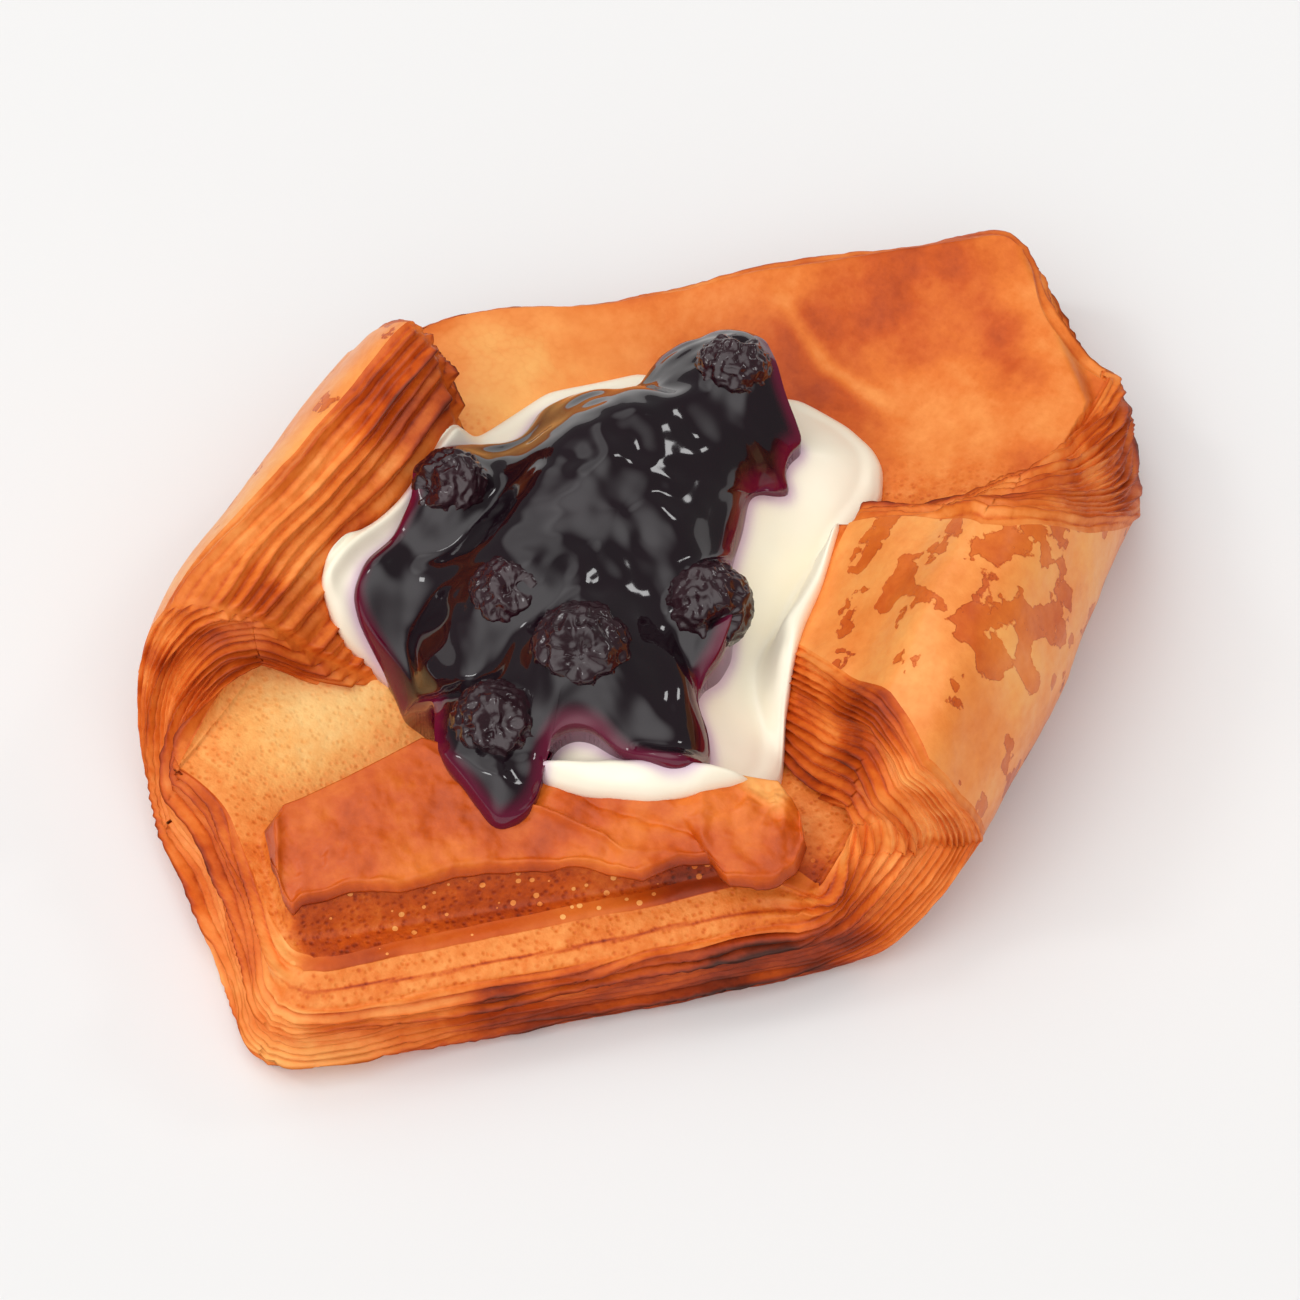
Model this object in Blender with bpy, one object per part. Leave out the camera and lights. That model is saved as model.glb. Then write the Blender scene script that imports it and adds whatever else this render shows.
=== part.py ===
"""A blueberry danish: a sheet of laminated dough with two opposite corners folded over
the middle, a pool of set cream and a spoonful of whole-berry compote on it.

Lengths are millimetres until they go into a mesh: x = east, along the long diagonal,
y = north, z = up. The sheet has the corners west, south, east and north, and the south
and the north corner are the ones folded in."""

import math

import bmesh
import bpy
import numpy as np
from mathutils import Matrix, Vector
from mathutils.bvhtree import BVHTree

MM = 0.001

# The flat sheet.
CORNERS = {
    "west": (-61.6, 6.2),
    "south": (26.0, -70.5),
    "east": (76.2, -1.8),
    "north": (-13.2, 80.3),
}
CORNER_CUT = 1.5

# Heights of the dough.
RIM_HEIGHT = 13.0
MIDDLE_HEIGHT = 8.5
DISH_WIDTH = 13.0
SHELF_RISE = 5.0

# The foot of the shelf near the southwest border: lengths from the northwest border, and
# the foot's distance from the southwest border there.
SHELF_FOOT_AT = (20.0, 45.0, 62.0, 75.0)
SHELF_FOOT = (8.7, 8.0, 6.5, 5.5)

# The folds: a point on the line where the dough leaves the tray, the line's bearing,
# and the side of the line that is folded over. The insets are how far the flap's cut
# edges stop short of the sheet's, at lengths beyond the fold: first for the edge west of
# the flap's tip, then for the one east of it. Each tip cut is at the skin and inside.
# The lift raises the skin to an ear: place along the fold and back from it, height and
# width.
SOUTH_FOLD = {
    "corner": "south",
    "anchor": (1.0, -29.4),
    "bearing": 10.0,
    "side": -1.0,
    "thickness": 13.5,
    "inner_radius": 0.8,
    "turn_length": 22.0,
    "stretch": 1.3,
    "bulge": 0.9,
    "end_taper": (0.3, 0.2),
    "tip_thickness": 6.0,
    "reach": 34.0,
    "inset_at": (0.0, 5.0, 9.5, 15.0, 18.0, 22.0, 34.0),
    "skin_inset": (
        (0.0, 3.0, 11.0, 4.0, 1.0, 3.0, 1.0),
        (0.0, 3.0, 7.0, 11.0, 13.0, 15.0, 6.5),
    ),
    "inner_outset": (
        (0.0, 0.0, 0.0, 1.0, 3.0, 5.0, 14.0),
        (0.0, 2.0, 3.0, 3.0, 3.0, 2.0, 1.0),
    ),
    "tip_cut": ((11.0, 11.0), (11.0, 11.0)),
    "lift": (30.0, 8.0, 0.0, 8.0),
    "core": (23.5, 49.0),
}
NORTH_FOLD = {
    "corner": "north",
    "anchor": (-8.0, 34.8),
    "bearing": 5.4,
    "side": 1.0,
    "thickness": 13.5,
    "inner_radius": 0.8,
    "turn_length": 22.0,
    "stretch": 1.3,
    "bulge": 0.9,
    "end_taper": (0.54, 0.0),
    "tip_thickness": 6.0,
    "reach": 34.0,
    "inset_at": (0.0, 7.0, 11.0, 13.5, 16.0, 22.0, 34.0),
    "skin_inset": (
        (0.0, 0.6, 1.0, 0.5, 0.0, 0.0, 0.0),
        (1.5, 1.5, 3.0, 9.0, 9.0, 2.5, 1.0),
    ),
    "inner_outset": (
        (0.0, 0.0, 0.0, 0.0, 0.0, 0.0, 0.0),
        (0.0, 0.0, -2.0, -8.0, -7.0, -3.0, -2.0),
    ),
    "tip_cut": ((30.0, 14.0), (25.0, 16.0)),
    "lift": (15.0, 1.0, 5.5, 8.0),
    "core": (-4.5, 22.0),
}
FOLD_SPAN = 45.0
SUNK = 1.2
CORE_WIDTH = 9.0
CORE_HEIGHT = 5.0
EDGE_INSET = 0.9

# How far the top of the dough steps back from its foot, along the rows, at the two
# borders south and north of the west corner, and of the east corner.
STAIRS = {"west": (10.0, 6.0), "east": (8.0, 2.5)}

# The step south of the west corner: an upright edge, a level shelf and a slope above it,
# as shares of the thickness and of the whole step.
STAIR_THICKNESS = (0.0, 0.74, 0.82, 0.92, 0.95, 1.0)
STAIR_INSET = (0.0, 0.06, 0.14, 0.70, 0.78, 1.0)

# The leaves that show at the cut edges, each from a gap to a crest to the next gap, as
# shares of the thickness, and how far a crest stands out.
LEAF_LEVELS = (
    0.0, 0.09, 0.18, 0.27, 0.36, 0.45, 0.54, 0.62, 0.70, 0.76, 0.82, 0.87, 0.92, 0.96, 1.0,
)
LEAF_RELIEF = 1.3

# The mesh of the sheet: rows from the south tip to the north tip, in six spans that
# meet at the ends of the two rolls and at the long diagonal.
ROWS = (6, 10, 9, 9, 10, 6)
COLUMNS = 20

# The cream: its middle, outline radius, and lobes as bearing, height and width.
CREAM = {
    "middle": (8.0, 3.0),
    "radius": 30.5,
    "lobes": (
        (-82.0, -15.5, 28.0),
        (-42.0, -13.0, 17.0),
        (97.0, -4.5, 22.0),
        (134.0, 6.2, 12.0),
    ),
    "edge": 3.0,
}
CREAM_LEVEL = 21.8
CREAM_FALL = 1.0

# The compote, in the same terms, and its lumps as a place, a height and a width.
COMPOTE = {
    "middle": (5.0, 4.0),
    "radius": 27.0,
    "lobes": (
        (-176.0, 8.0, 12.0),
        (-157.0, -5.5, 8.0),
        (-114.0, -7.5, 12.0),
        (-60.0, -18.0, 47.0),
        (17.0, 4.5, 14.0),
        (48.0, 1.8, 14.0),
        (101.0, -4.0, 24.0),
        (134.0, 4.5, 10.0),
        (160.0, 3.5, 14.0),
    ),
    "edge": 2.4,
}
COMPOTE_DOME = 3.2
LUMPS = (
    (17.0, 14.0, 3.4, 11.0),
    (6.0, 15.0, 1.6, 9.0),
    (-9.0, 12.0, 2.4, 4.5),
    (-3.0, 4.0, 1.2, 9.0),
    (27.0, 11.0, 1.6, 5.0),
)

# The whole berries: place, height of the middle, radius, and the bearing and the
# elevation at which the crown looks.
BERRIES = (
    (-10.6, 1.2, 25.6, 5.6, -150.0, 55.0),
    (3.5, -5.2, 23.0, 5.0, -120.0, 30.0),
    (-21.4, 4.4, 21.2, 5.2, -135.0, 60.0),
    (-1.4, 26.2, 23.9, 4.4, 160.0, 40.0),
    (28.5, 10.0, 26.0, 4.4, 20.0, 45.0),
    (-9.0, 12.0, 24.6, 4.6, -120.0, 70.0),
)
BERRY_SEGMENTS = 15
BERRY_RINGS = 9
GAP = 0.3

COLOURS = {
    "pastry": ((0.50, 0.20, 0.055), 0.55),
    "cream": ((0.90, 0.80, 0.58), 0.35),
    "compote": ((0.020, 0.006, 0.020), 0.12),
    "berry": ((0.045, 0.012, 0.045), 0.25),
}


def smooth_step(low, high, value):
    """0 below low, 1 above high, with a smooth run between them."""
    t = np.clip((value - low) / (high - low), 0.0, 1.0)
    return t * t * (3.0 - 2.0 * t)


def mix(first, second, share):
    return first + (second - first) * share


def fold_axes(fold):
    """The unit vectors along a fold and out of it, across the dough."""
    angle = math.radians(fold["bearing"])
    along = (math.cos(angle), math.sin(angle))
    return along, (-fold["side"] * along[1], fold["side"] * along[0])


def past_fold(fold, x, y):
    """How far a point of the flat sheet lies along the fold, and beyond it."""
    along, outward = fold_axes(fold)
    dx, dy = x - fold["anchor"][0], y - fold["anchor"][1]
    return dx * along[0] + dy * along[1], dx * outward[0] + dy * outward[1]


def inside_edge(first, second, x, y):
    """How far a point lies left of the sheet's edge from the first corner on."""
    (ax, ay), (bx, by) = CORNERS[first], CORNERS[second]
    length = math.hypot(bx - ax, by - ay)
    return ((bx - ax) * (y - ay) - (by - ay) * (x - ax)) / length


def bed_height(x, y):
    """The height of the lower dough's top, under the filling and the flaps."""
    from_sw = inside_edge("west", "south", x, y)
    from_se = inside_edge("south", "east", x, y)
    from_ne = inside_edge("east", "north", x, y)
    from_nw = inside_edge("north", "west", x, y)
    inside = 1.0
    for distance in (from_sw, from_se, from_ne, from_nw):
        inside = inside * (1.0 - np.exp(-((np.maximum(distance, 0.0) / DISH_WIDTH) ** 2)))
    for fold in (SOUTH_FOLD, NORTH_FOLD):
        beyond = past_fold(fold, x, y)[1]
        inside = inside * (1.0 - np.exp(-((np.minimum(beyond, 0.0) / DISH_WIDTH) ** 2)))
    foot = np.interp(from_nw, SHELF_FOOT_AT, SHELF_FOOT)
    west_shelf = smooth_step(foot, foot + 3.0, from_sw) * smooth_step(4.5, 7.0, from_nw)
    west_shelf = west_shelf * (1.0 - smooth_step(18.0, 22.5, from_sw - 0.2 * from_nw))
    west_shelf = west_shelf * smooth_step(5.5, 8.0, from_nw - 0.1 * from_sw)
    west_shelf = west_shelf * (1.0 - smooth_step(50.0, 62.0, from_nw + 0.1 * from_sw))
    east_shelf = smooth_step(1.0, 3.0, from_ne) * smooth_step(4.5, 7.0, from_se)
    east_shelf = 0.5 * east_shelf * (1.0 - smooth_step(35.0, 45.0, from_se))
    return mix(RIM_HEIGHT, MIDDLE_HEIGHT, inside) + SHELF_RISE * (west_shelf + east_shelf)


def folded(x, y, w, fold):
    """Where a point of the flat sheet, at the share w of the dough's thickness from the
    tray side, ends up once its corner is folded over."""
    along, outward = fold_axes(fold)
    run, beyond = past_fold(fold, x, y)
    turned = math.pi * np.clip(beyond / fold["turn_length"], 0.0, 1.0)
    back = np.maximum(beyond - fold["turn_length"], 0.0) * fold["stretch"]
    radius = fold["inner_radius"] + (1.0 - w) * fold["thickness"]
    taper = mix(*fold["end_taper"], smooth_step(-10.0, 10.0, run))
    taper = 1.0 - taper * smooth_step(0.3 * FOLD_SPAN, FOLD_SPAN, np.abs(run))
    out = radius * np.sin(turned) * fold["bulge"] * taper - back
    plan_x = fold["anchor"][0] + run * along[0] + out * outward[0]
    plan_y = fold["anchor"][1] + run * along[1] + out * outward[1]
    rolled = fold["inner_radius"] + fold["thickness"] - radius * np.cos(turned)
    thinning = smooth_step(0.0, fold["reach"], back)
    thickness = mix(fold["thickness"], fold["tip_thickness"], thinning)
    gap = mix(2.0 * fold["inner_radius"], -SUNK, smooth_step(0.0, 6.0, back))
    lying = bed_height(plan_x, plan_y) + gap + (1.0 - w) * thickness
    blend = smooth_step(0.7 * math.pi, math.pi, turned)
    lift_run, lift_back, lift, width = fold["lift"]
    from_ear = np.hypot(run - lift_run, back - lift_back) / width
    raised = lift * (1.0 - w) * np.exp(-(from_ear**2)) * blend
    return plan_x, plan_y, mix(rolled, lying, blend) + raised


def fold_share(fold, side, beyond):
    """The share of the border, from the folded corner to the side corner, at which the
    sheet lies a length beyond the fold."""
    at_corner = past_fold(fold, *CORNERS[fold["corner"]])[1]
    at_side = past_fold(fold, *CORNERS[side])[1]
    return (at_corner - beyond) / (at_corner - at_side)


def border_share(side, row, w):
    """Where a row meets a border at the share w of the thickness: 0 is the south
    corner, 1 the border's own corner and 2 the north corner."""
    knots = [1.0]
    for fold, sign, start in ((SOUTH_FOLD, 1.0, 0.0), (NORTH_FOLD, -1.0, 2.0)):
        cut = mix(*fold["tip_cut"][0 if side == "west" else 1], w)
        tip = past_fold(fold, *CORNERS[fold["corner"]])[1] - cut
        run = [tip, np.minimum(fold["turn_length"], tip - 1.5), 0.0]
        shares = [start + sign * fold_share(fold, side, beyond) for beyond in run]
        knots = shares + knots if sign > 0.0 else knots + shares[::-1]
    share = knots[0]
    passed = 0
    for count, low, high in zip(ROWS, knots[:-1], knots[1:]):
        share = share + (high - low) * np.clip((row - passed) / count, 0.0, 1.0)
        passed += count
    return share


def row_end(side, row, w):
    """A row's end on the sheet's west or east border, and how far the layer at w stops
    short of it."""
    share = border_share(side, row, w)
    path = [CORNERS["south"], CORNERS[side], CORNERS["north"]]
    x = np.interp(share, (0.0, 1.0, 2.0), [p[0] for p in path])
    y = np.interp(share, (0.0, 1.0, 2.0), [p[1] for p in path])
    south_stair, north_stair = STAIRS[side]
    southern = 1.0 - smooth_step(0.9, 1.1, share)
    stepped = np.interp(w, STAIR_THICKNESS, STAIR_INSET) if side == "west" else w
    stair = mix(north_stair * w, south_stair * stepped, southern)
    end = 0 if side == "west" else 1
    flap = 0.0
    for fold in (SOUTH_FOLD, NORTH_FOLD):
        beyond = past_fold(fold, x, y)[1]
        stair = stair * (1.0 - smooth_step(-8.0, 6.0, beyond))
        skin = np.interp(beyond, fold["inset_at"], fold["skin_inset"][end])
        inner = np.interp(beyond, fold["inset_at"], fold["inner_outset"][end])
        flap = flap + mix(skin, -inner, w)
    corner = CORNER_CUT * np.exp(-(((share - 1.0) / 0.02) ** 2))
    return x, y, EDGE_INSET + stair + flap + corner


def danish_point(column, row, w, relief):
    """Where a point of the sheet lies in the baked danish: the column as a share of its
    row, the row's number, the share w of the thickness from the tray side, and how far
    the leaf at w stands out eastwards along the row."""
    west_x, west_y, west_inset = row_end("west", row, w)
    east_x, east_y, east_inset = row_end("east", row, w)
    length = np.hypot(east_x - west_x, east_y - west_y)
    narrow = np.minimum(1.0, length / 45.0)
    start = west_inset * narrow
    along = (start + column * (length - start - east_inset * narrow)) / length
    x, y = mix(west_x, east_x, along), mix(west_y, east_y, along)
    z = w * bed_height(x, y)
    for fold in (SOUTH_FOLD, NORTH_FOLD):
        beyond = past_fold(fold, x, y)[1]
        fx, fy, fz = folded(x, y, w, fold)
        x, y, z = (np.where(beyond > 0.0, a, b) for a, b in ((fx, x), (fy, y), (fz, z)))
    x = x + relief * narrow * (east_x - west_x) / length
    y = y + relief * narrow * (east_y - west_y) / length
    return np.stack((x, y, z), axis=-1)


def unit_block(cells):
    """A block of unit cells, cut along its three axes."""
    block = bmesh.new()
    bmesh.ops.create_cube(block, size=1.0)
    bmesh.ops.translate(block, verts=block.verts, vec=(0.5, 0.5, 0.5))
    for axis, count in enumerate(cells):
        edges = [e for e in block.edges if abs(e.verts[0].co[axis] - e.verts[1].co[axis]) > 0.5]
        bmesh.ops.subdivide_edges(block, edges=edges, cuts=count - 1, use_grid_fill=True)
    for vertex in block.verts:
        vertex.co = [round(value * count) for value, count in zip(vertex.co, cells)]
    return block


def finished(name, block, smooth):
    """A mesh from the block, in metres, shaded flat or smooth."""
    for vertex in block.verts:
        vertex.co = vertex.co * MM
    bmesh.ops.recalc_face_normals(block, faces=block.faces)
    for face in block.faces:
        face.smooth = smooth
    mesh = bpy.data.meshes.new(name)
    block.to_mesh(mesh)
    block.free()
    return mesh


def make_pastry():
    """The folded sheet. Its flaps sink a little into the dough under them."""
    block = unit_block((COLUMNS, sum(ROWS), len(LEAF_LEVELS) - 1))
    at = np.array([vertex.co for vertex in block.verts])
    column, row, level = at[:, 0] / COLUMNS, at[:, 1], np.round(at[:, 2]).astype(int)
    w = np.array(LEAF_LEVELS)[level]
    outwards = (column == 1.0) * 1.0 - (column == 0.0)
    relief = outwards * LEAF_RELIEF * (1 - level % 2)
    spread = 0.65 * column + 0.35 * (0.5 - 0.5 * np.cos(math.pi * column))
    placed = danish_point(spread, row, w, relief)
    for vertex, point in zip(block.verts, placed):
        vertex.co = point
    bmesh.ops.triangulate(block, faces=block.faces, quad_method="SHORT_EDGE")
    return finished("pastry", block, False)


def make_core(fold):
    """The dough pressed together inside a roll."""
    block = bmesh.new()
    bmesh.ops.create_cube(block, size=1.0)
    along, outward = fold_axes(fold)
    for vertex in block.verts:
        run = fold["core"][0] + fold["core"][1] * vertex.co.x
        out = CORE_WIDTH * (vertex.co.y - 0.5) + 1.0
        up = CORE_HEIGHT * vertex.co.z
        vertex.co = (
            fold["anchor"][0] + run * along[0] + out * outward[0],
            fold["anchor"][1] + run * along[1] + out * outward[1],
            fold["thickness"] + fold["inner_radius"] + up,
        )
    return finished(fold["corner"] + "_core", block, False)


def outline_radius(blob, angle):
    """How far a blob's outline lies from its middle at an angle in degrees."""
    radius = blob["radius"]
    for bearing, height, width in blob["lobes"]:
        turn = (angle - bearing + 180.0) % 360.0 - 180.0
        radius += height * math.exp(-(abs(turn / width) ** 3))
    return radius


def surface_height(trees, x, y, radius):
    """The top of the surfaces under a place, the highest within a small radius."""
    highest = 0.0
    for step in range(21):
        reach = radius * min(step, 1) if step < 11 else 0.5 * radius
        angle = step * math.pi / 5.0
        origin = Vector((x + reach * math.cos(angle), y + reach * math.sin(angle), 100.0))
        for tree in trees:
            hit = tree.ray_cast(origin * MM, Vector((0.0, 0.0, -1.0)))[0]
            if hit is not None:
                highest = max(highest, hit.z / MM)
    return highest


def make_blob(name, blob, trees, top_height, rings, segments):
    """A flat-bottomed spill that follows the surfaces below it, with a rounded rim."""
    block = bmesh.new()
    cx, cy = blob["middle"]
    layers = {"top": [], "bottom": []}
    for ring, share in enumerate(rings):
        count = segments if share > 0.0 else 1
        spacing = 0.5 * blob["radius"] * (share - rings[max(ring - 1, 0)]) + 1.7
        loops = {"top": [], "bottom": []}
        for step in range(count):
            angle = 360.0 * step / segments
            reach = outline_radius(blob, angle) * share
            x = cx + reach * math.cos(math.radians(angle))
            y = cy + reach * math.sin(math.radians(angle))
            base = surface_height(trees, x, y, spacing) + GAP
            top = max(top_height(x, y, share, base), base + 0.3)
            loops["bottom"].append(block.verts.new((x, y, base)))
            loops["top"].append(block.verts.new((x, y, top)))
        for layer, loop in loops.items():
            layers[layer].append(loop)
    for layer in layers.values():
        for inner, outer in zip(layer[:-1], layer[1:]):
            for step in range(segments):
                following = (step + 1) % segments
                if len(inner) == 1:
                    block.faces.new((inner[0], outer[step], outer[following]))
                else:
                    block.faces.new((inner[step], outer[step], outer[following], inner[following]))
    for step in range(segments):
        following = (step + 1) % segments
        upper, lower = layers["top"][-1], layers["bottom"][-1]
        block.faces.new((upper[step], lower[step], lower[following], upper[following]))
    return finished(name, block, True)


def cream_top(x, y, share, base):
    level = CREAM_LEVEL - CREAM_FALL * share**2
    rim = math.sqrt(max(1.0 - share**8, 0.0))
    return max(mix(base, level, rim), base + CREAM["edge"] * rim)


def compote_top(x, y, share, base):
    height = COMPOTE["edge"] * math.sqrt(max(1.0 - share**8, 0.0))
    height += COMPOTE_DOME * (1.0 - share**2)
    for lump_x, lump_y, rise, width in LUMPS:
        distance = math.hypot(x - lump_x, y - lump_y) / width
        height += rise * math.exp(-(distance**2)) * (1.0 - share**4)
    return base + height


def make_berry(name, berry, growth):
    """A round berry, a little flattened, with the star-shaped rim of its crown."""
    x, y, z, radius, bearing, elevation = berry
    block = bmesh.new()
    bmesh.ops.create_uvsphere(
        block, u_segments=BERRY_SEGMENTS, v_segments=BERRY_RINGS, radius=1.0
    )
    tilt = Vector((
        math.cos(math.radians(bearing)) * math.cos(math.radians(elevation)),
        math.sin(math.radians(bearing)) * math.cos(math.radians(elevation)),
        math.sin(math.radians(elevation)),
    )).to_track_quat("Z", "Y")
    for vertex in block.verts:
        polar = math.acos(max(min(vertex.co.z, 1.0), -1.0))
        around = math.atan2(vertex.co.y, vertex.co.x)
        size = 1.0
        if growth == 0.0:
            crown = math.exp(-(((polar - 0.55) / 0.22) ** 2))
            size += 0.07 * crown * (1.0 + 0.6 * math.cos(5.0 * around))
            size -= 0.14 * math.exp(-((polar / 0.3) ** 2))
        scale = Vector((1.0, 1.0, 0.86))
        vertex.co = tilt @ (vertex.co * size * scale * (radius + growth)) + Vector((x, y, z))
    return finished(name, block, True)


def material(name, colour, roughness):
    made = bpy.data.materials.new(name)
    made.use_nodes = True
    shader = made.node_tree.nodes["Principled BSDF"]
    shader.inputs["Base Color"].default_value = (*colour, 1.0)
    shader.inputs["Roughness"].default_value = roughness
    made.diffuse_color = (*colour, 1.0)
    return made


def add_node(collection, name, mesh):
    node = bpy.data.objects.new(name, mesh)
    collection.objects.link(node)
    colour, roughness = COLOURS[name.split("_")[0]]
    mesh.materials.append(material(name, colour, roughness))
    return node


def add_cutter(collection, mesh):
    cutter = bpy.data.objects.new(mesh.name, mesh)
    cutter.hide_render = True
    cutter.display_type = "WIRE"
    collection.objects.link(cutter)
    return cutter


def combine(node, cutter, operation, use_self):
    step = node.modifiers.new(cutter.name, "BOOLEAN")
    step.operation = operation
    step.solver = "EXACT"
    step.use_self = use_self
    step.object = cutter


def surface_tree(node):
    """The node's finished surface, for finding heights on it."""
    return BVHTree.FromObject(node, bpy.context.evaluated_depsgraph_get())


def centre_on_origin(nodes, others):
    """Moves all so that the nodes' bounding box stands on the origin."""
    graph = bpy.context.evaluated_depsgraph_get()
    corners = []
    for node in nodes:
        mesh = node.evaluated_get(graph).to_mesh()
        corners += [vertex.co.copy() for vertex in mesh.vertices]
    low = Vector(min(corner[axis] for corner in corners) for axis in range(3))
    high = Vector(max(corner[axis] for corner in corners) for axis in range(3))
    shift = Matrix.Translation((-0.5 * (low.x + high.x), -0.5 * (low.y + high.y), -low.z))
    for item in [*nodes, *others]:
        item.data.transform(shift)


def main():
    for old in list(bpy.data.objects):
        bpy.data.objects.remove(old)
    danish = bpy.data.collections.new("blueberry_danish")
    cutters = bpy.data.collections.new("cutters")
    for collection in (danish, cutters):
        bpy.context.scene.collection.children.link(collection)

    pastry = add_node(danish, "pastry", make_pastry())
    for fold in (SOUTH_FOLD, NORTH_FOLD):
        combine(pastry, add_cutter(cutters, make_core(fold)), "UNION", True)
    trees = [surface_tree(pastry)]
    rings = (0.0, 0.3, 0.55, 0.76, 0.91, 0.98, 1.0)
    cream = add_node(danish, "cream", make_blob("cream", CREAM, trees, cream_top, rings, 72))
    trees.append(surface_tree(cream))
    rings = (0.0, 0.25, 0.47, 0.68, 0.84, 0.94, 0.985, 1.0)
    compote = add_node(
        danish, "compote", make_blob("compote", COMPOTE, trees, compote_top, rings, 72)
    )
    for number, berry in enumerate(BERRIES, 1):
        add_node(danish, f"berry_{number}", make_berry(f"berry_{number}", berry, 0.0))
        hollow = add_cutter(cutters, make_berry(f"berry_{number}_hollow", berry, 2.0 * GAP))
        combine(compote, hollow, "DIFFERENCE", False)
        combine(cream, hollow, "DIFFERENCE", False)
    centre_on_origin(danish.objects, cutters.objects)


main()
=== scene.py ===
"""The looks of the blueberry danish: baked dough with its leaves, skins and loose films,
set cream, glazed compote with whole berries, and the pale studio around them.

Lengths are millimetres in the dough's own frame until they go into a mesh: x = east,
y = north, z = up. PLACE moves that frame to the model's."""

import math

import bpy
import numpy as np
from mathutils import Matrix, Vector
from mathutils.bvhtree import BVHTree


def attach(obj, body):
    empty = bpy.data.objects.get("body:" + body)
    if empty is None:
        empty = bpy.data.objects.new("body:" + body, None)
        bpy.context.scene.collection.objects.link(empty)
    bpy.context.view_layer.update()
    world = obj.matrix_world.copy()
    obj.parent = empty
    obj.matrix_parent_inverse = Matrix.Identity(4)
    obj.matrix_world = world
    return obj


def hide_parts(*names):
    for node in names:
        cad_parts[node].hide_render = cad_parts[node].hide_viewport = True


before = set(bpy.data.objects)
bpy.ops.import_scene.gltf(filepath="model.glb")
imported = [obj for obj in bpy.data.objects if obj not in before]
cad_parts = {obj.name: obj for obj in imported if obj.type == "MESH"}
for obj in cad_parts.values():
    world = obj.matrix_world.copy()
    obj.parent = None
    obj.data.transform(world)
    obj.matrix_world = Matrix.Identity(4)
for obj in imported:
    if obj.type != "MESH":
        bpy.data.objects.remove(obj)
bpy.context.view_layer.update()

MM = 0.001
PLACE = np.array((-6.5513, -3.9554, 0.0))

# The flat sheet, as in the solids.
CORNERS = {
    "west": (-61.6, 6.2),
    "south": (26.0, -70.5),
    "east": (76.2, -1.8),
    "north": (-13.2, 80.3),
}
BORDERS = (("west", "south"), ("south", "east"), ("east", "north"), ("north", "west"))
CORNER_CUT = 1.5
RIM_HEIGHT = 13.0
MIDDLE_HEIGHT = 8.5
DISH_WIDTH = 13.0
SHELF_RISE = 5.0

# The shelf's foot: lengths from the northwest border, and its distance from the southwest
# border there.
SHELF_FOOT_AT = (20.0, 45.0, 62.0, 75.0)
SHELF_FOOT = (8.7, 8.0, 6.5, 5.5)

# What both folds share: the dough's thickness at the roll and at the tip, the roll's inner
# radius, length round and bulge, the flap's stretch and how far back it goes.
FOLD_SHAPE = {
    "thickness": 13.5,
    "tip_thickness": 6.0,
    "inner_radius": 0.8,
    "turn_length": 22.0,
    "stretch": 1.3,
    "bulge": 0.9,
    "reach": 34.0,
}

# The folds: a point on the line where the dough leaves the tray, the line's bearing, and
# the side of it that is folded over. The insets are how far the flap's cut edges stop short
# of the sheet's, at lengths beyond the fold, first west and then east of the flap's tip.
# Each tip cut is at the skin and inside. The lift raises the skin to an ear: place along the
# fold and back from it, height and width. The dough stays unrolled past the first open
# place, along the fold, and short of the second, beyond it: only the scene has such an end.
NEVER = (90.0, 99.0)
SOUTH_FOLD = {
    **FOLD_SHAPE,
    "corner": "south",
    "anchor": (1.0, -29.4),
    "bearing": 10.0,
    "side": -1.0,
    "end_taper": (0.3, 0.2),
    "inset_at": (0.0, 5.0, 9.5, 15.0, 18.0, 22.0, 34.0),
    "skin_inset": (
        (0.0, 3.0, 11.0, 4.0, 1.0, 3.0, 1.0),
        (0.0, 3.0, 7.0, 11.0, 13.0, 15.0, 6.5),
    ),
    "inner_outset": (
        (0.0, 0.0, 0.0, 1.0, 3.0, 5.0, 14.0),
        (0.0, 2.0, 3.0, 3.0, 3.0, 2.0, 1.0),
    ),
    "tip_cut": ((11.0, 11.0), (11.0, 11.0)),
    "lift": (30.0, 8.0, 0.0, 8.0),
    "open": (NEVER, (10.0, 13.5)),
}
NORTH_FOLD = {
    **FOLD_SHAPE,
    "corner": "north",
    "anchor": (-8.0, 34.8),
    "bearing": 5.4,
    "side": 1.0,
    "end_taper": (0.54, 0.0),
    "inset_at": (0.0, 7.0, 11.0, 13.5, 16.0, 22.0, 34.0),
    "skin_inset": (
        (0.0, 0.6, 1.0, 0.5, 0.0, 0.0, 0.0),
        (1.5, 1.5, 3.0, 9.0, 9.0, 2.5, 1.0),
    ),
    "inner_outset": (
        (0.0, 0.0, 0.0, 0.0, 0.0, 0.0, 0.0),
        (0.0, 0.0, -2.0, -8.0, -7.0, -3.0, -2.0),
    ),
    "tip_cut": ((30.0, 14.0), (25.0, 16.0)),
    "lift": (15.0, 1.0, 5.5, 8.0),
    "open": ((16.0, 24.0), (10.0, 13.5)),
}
FOLDS = (SOUTH_FOLD, NORTH_FOLD)

# Half a roll's length, how far a tip sinks into the dough, how far the cut edges stay
# inside the sheet's outline, and the length below which a row's ends narrow.
FOLD_SPAN = 45.0
SUNK = 1.2
EDGE_INSET = 0.9
NARROW_ROW = 45.0

# How far the top of the dough steps back from its foot, along the rows, at the two
# borders south and north of the west corner, and of the east corner.
STAIRS = {"west": (10.0, 6.0), "east": (8.0, 2.5)}

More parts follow.
